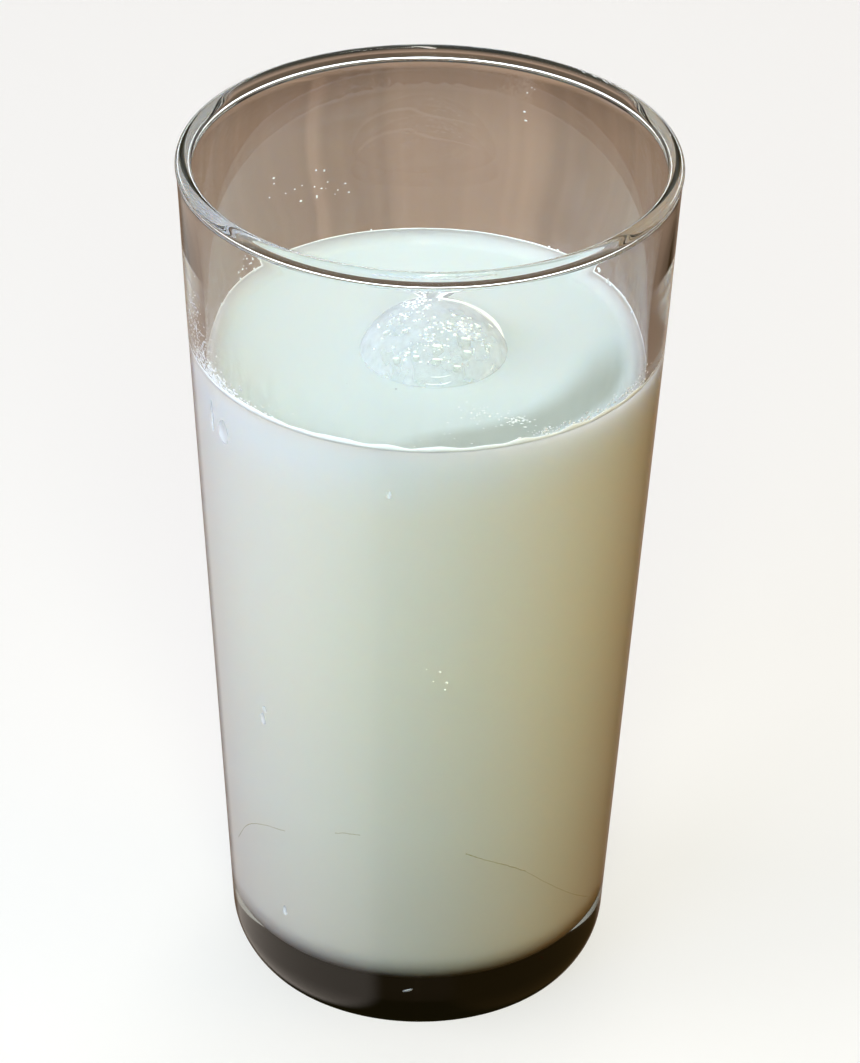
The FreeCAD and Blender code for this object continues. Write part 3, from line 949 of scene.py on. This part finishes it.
def makeFilmOnWall(settings):
    # milk that ran down the wall: a faint veil, thickest just over the milk and at the two sides
    material, tree = newMaterial("milkVeil")
    where = addNode(tree, "ShaderNodeTexCoord")
    axes = addNode(tree, "ShaderNodeSeparateXYZ", links={0: where.outputs["Object"]})
    across, up = axes.outputs["X"], axes.outputs["Z"]
    low, high = settings["low"] * mm, settings["high"] * mm
    fade = addNode(tree, "ShaderNodeMapRange", {"From Min": high, "From Max": low}, {"Value": up})
    drop = addNode(tree, "ShaderNodeMath", {"operation": "POWER", 1: 2.2}, {0: fade.outputs[0]})
    side = addNode(tree, "ShaderNodeMath", {"operation": "ABSOLUTE"}, {0: across})
    sideShare = addNode(tree, "ShaderNodeMapRange", {"From Min": 0.018, "From Max": 0.03, "To Min": 0.12},
                        {"Value": side.outputs[0]})
    stretched = addNode(tree, "ShaderNodeMapping", {"Scale": (1.0, 1.0, 0.35)},
                        {"Vector": where.outputs["Object"]})
    streaks = addNode(tree, "ShaderNodeTexNoise", {"Scale": 1 / (settings["streakSize"] * mm), "Detail": 5.0,
                                                   "Distortion": 0.6}, {"Vector": stretched.outputs[0]})
    patchy = addNode(tree, "ShaderNodeMapRange", {"From Min": 0.35, "From Max": 0.7,
                                                  "To Max": settings["most"]}, {"Value": streaks.outputs[0]})
    amount = times(tree, drop.outputs[0], sideShare.outputs[0], patchy.outputs[0])
    clear = addNode(tree, "ShaderNodeBsdfTransparent")
    white = addNode(tree, "ShaderNodeBsdfDiffuse", {"Color": linearColour(settings["colour"])})
    veil = addNode(tree, "ShaderNodeMixShader", links={0: amount, 1: clear.outputs[0], 2: white.outputs[0]})
    addNode(tree, "ShaderNodeOutputMaterial", links={"Surface": veil.outputs[0]})
    bm = bmesh.new()
    rings = []
    for j in range(settings["along"] + 1):
        up = settings["low"] + (settings["high"] - settings["low"]) * j / settings["along"]
        rings.append([bm.verts.new(onInside(360 * i / settings["around"], up, settings["inward"])[0] * mm)
                      for i in range(settings["around"])])
    for lower, upper in zip(rings, rings[1:]):
        bridge(bm, lower, upper)
    return ownPiece(meshObject("wallVeil", bm, material))


makeFilmOnWall(wallFilm)
print("veil made")


drops = {
    # on the outside: azimuth, height, width, tall, standing out (mm)
    "outside": [(-147.0, 96.0, 2.6, 3.8, 0.16), (-152.5, 97.0, 0.9, 5.0, 0.07),
                (-98.2, 95.3, 0.7, 1.2, 0.12), (-137.3, 50.3, 1.2, 2.0, 0.14),
                (-136.4, 52.2, 0.8, 1.1, 0.10), (-132.6, 16.7, 0.9, 1.8, 0.12)],
    "hang": 0.22,  # how much wider they are low down
    "ior": 1.09, "clearness": 0.6, "colour": "#fbfdff",
}


def makeDrops(settings):
    # drops of thinned milk: mostly clear, a little whitish, with a soft outline
    material, tree = newMaterial("thinnedMilkDrops")
    shader = addNode(tree, "ShaderNodeBsdfPrincipled", {
        "Base Color": linearColour(settings["colour"]), "Roughness": 0.05, "IOR": settings["ior"],
        "Transmission Weight": settings["clearness"]})
    mixed = passLight(tree, shader, addNode(tree, "ShaderNodeBsdfTransparent"))
    addNode(tree, "ShaderNodeOutputMaterial", links={"Surface": mixed.outputs[0]})
    bm = bmesh.new()
    for azimuth, up, width, tall, stand in settings["outside"]:
        point, way = onOutside(azimuth, up, 0.02)
        aside = Vector((-math.sin(math.radians(azimuth)), math.cos(math.radians(azimuth)), 0))
        rise = way.cross(aside).normalized()
        around, along = 28, 10
        rings = []
        for j in range(along):
            lift = math.pi / 2 * j / along
            ring = []
            for i in range(around):
                turn = 2 * math.pi * i / around
                heavy = 1 + settings["hang"] * math.sin(turn) * (-1 if tall > width else 0)
                flat = aside * (width / 2 * math.cos(turn) * heavy) + rise * (tall / 2 * math.sin(turn))
                ring.append(bm.verts.new((point + flat * math.cos(lift) + way * stand * math.sin(lift)) * mm))
            rings.append(ring)
        top = bm.verts.new((point + way * stand) * mm)
        for lower, upper in zip(rings, rings[1:]):
            bridge(bm, lower, upper)
        for i in range(around):
            bm.faces.new([rings[-1][i], rings[-1][(i + 1) % around], top])
        bm.faces.new(rings[0][::-1])
    return ownPiece(meshObject("waterDrops", bm, material))


makeDrops(drops)


marks = {
    # fine scuffs low on the outside: stops of azimuth and height, half width in mm
    "scuffs": [([(-156.5, 22.9), (-149, 27.6), (-140, 30.4), (-130.9, 31.8)], 0.07),
               ([(-113.7, 35.1), (-110, 35.6), (-106.2, 35.8)], 0.06),
               ([(-76.5, 33.0), (-71, 31.4), (-64, 29.4), (-57.7, 27.2)], 0.09),
               ([(-57.7, 27.2), (-48, 22.6), (-37, 17.8), (-27, 14.2)], 0.05)],
    "scuffColour": "#b9b08c",
    # dried dots of milk on the outside: azimuth, height, radius in mm
    "dots": [(-85.1, 65.8, 0.20), (-83.3, 63.9, 0.22), (-83.7, 62.7, 0.16), (-86.8, 64.2, 0.13),
             (-88.6, 66.3, 0.12)],
    # short pale flecks on the top of the rim: azimuth, radius offset in mm, length in mm
    "flecks": [(52.6, 0.1, 1.2), (50.4, -0.2, 0.8), (48.9, 0.2, 1.6), (47.2, -0.1, 1.1), (45.6, 0.15, 0.7),
               (43.4, -0.2, 1.4), (41.8, 0.0, 0.9), (-131.0, 0.1, 0.7), (12.0, 0.0, 0.8)],
    "fleckColour": "#e9edf0",
}


def makeMarks(settings):
    scuffs = bmesh.new()
    for stops, width in settings["scuffs"]:
        route = smoothRoute([(azimuth, up, 0) for azimuth, up in stops], 10)
        placed = [onOutside(stop.x, stop.y + 0.12 * noise.noise(Vector((stop.x * 0.9, stop.y, 3))), 0.005)
                  for stop in route]
        wear = [0.5 + 0.9 * abs(noise.noise(Vector((stop.x * 0.7, 1, 2)))) for stop in route]
        addRidge(scuffs, [point for point, way in placed], [way for point, way in placed],
                 [max(0.02, width * share) for share in wear], 0.2)
    scuffed = makeFrothMaterial("scuffedGlass", settings["scuffColour"])
    ownPiece(meshObject("scuffs", scuffs, scuffed))
    flecks = bmesh.new()
    half = glass["wall"] * math.cos(lean) / 2
    for azimuth, aside, length in settings["flecks"]:
        radius = outsideRadius(height - half) - glass["wall"] / 2
        points, normals = [], []
        for i in range(5):
            angle = math.radians(azimuth) + (i / 4 - 0.5) * length / radius
            tilt = aside / half + 0.05 * i
            outward = Vector((math.cos(angle), math.sin(angle), 0))
            way = outward * math.sin(tilt) + Vector((0, 0, math.cos(tilt)))
            points.append(outward * radius + Vector((0, 0, height - half)) + way * half)
            normals.append(way)
        addRidge(flecks, points, normals, [0.02, 0.05, 0.07, 0.05, 0.02], 0.3)
    # the flecks are plain pale strips on the rim top
    fleckMaterial = makeFrothMaterial("paleRimFleck", settings["fleckColour"])
    ownPiece(meshObject("rimFlecks", flecks, fleckMaterial))
    dots = bmesh.new()
    for azimuth, up, radius in settings["dots"]:
        addBall(dots, onOutside(azimuth, up, 0.0)[0], radius, flat=0.8)
    # the dots glow faintly, a painted brightness
    dried = makeFrothMaterial("driedMilk", "#fffdf2", 0.12)
    ownPiece(meshObject("milkDots", dots, dried))


makeMarks(marks)


seedBubble = {"azimuth": -92.5, "radius": 25.0, "up": 6.6, "long": 0.75, "thick": 0.22, "tilt": 18.0}


def makeSeedBubble(settings):
    # a gas bubble drawn out in the glass of the base; it flashes because light turns back at its wall, and
    # here that flash is painted: a grey body that glows
    angle = math.radians(settings["azimuth"])
    place = Vector((settings["radius"] * math.cos(angle), settings["radius"] * math.sin(angle),
                    settings["up"])) * mm
    bm = bmesh.new()
    size = Matrix.Diagonal((settings["long"] * mm, settings["thick"] * mm, settings["thick"] * mm, 1))
    turn = Matrix.Rotation(math.radians(-settings["tilt"]), 4, "Y")
    bmesh.ops.create_icosphere(bm, subdivisions=3, radius=1.0, matrix=Matrix.Translation(place) @ turn @ size)
    material = makeFrothMaterial("gasBubblePaintedFlash", "#8d9094", 0.25)
    return ownPiece(meshObject("seedBubble", bm, material))


makeSeedBubble(seedBubble)
print("drops and marks made")
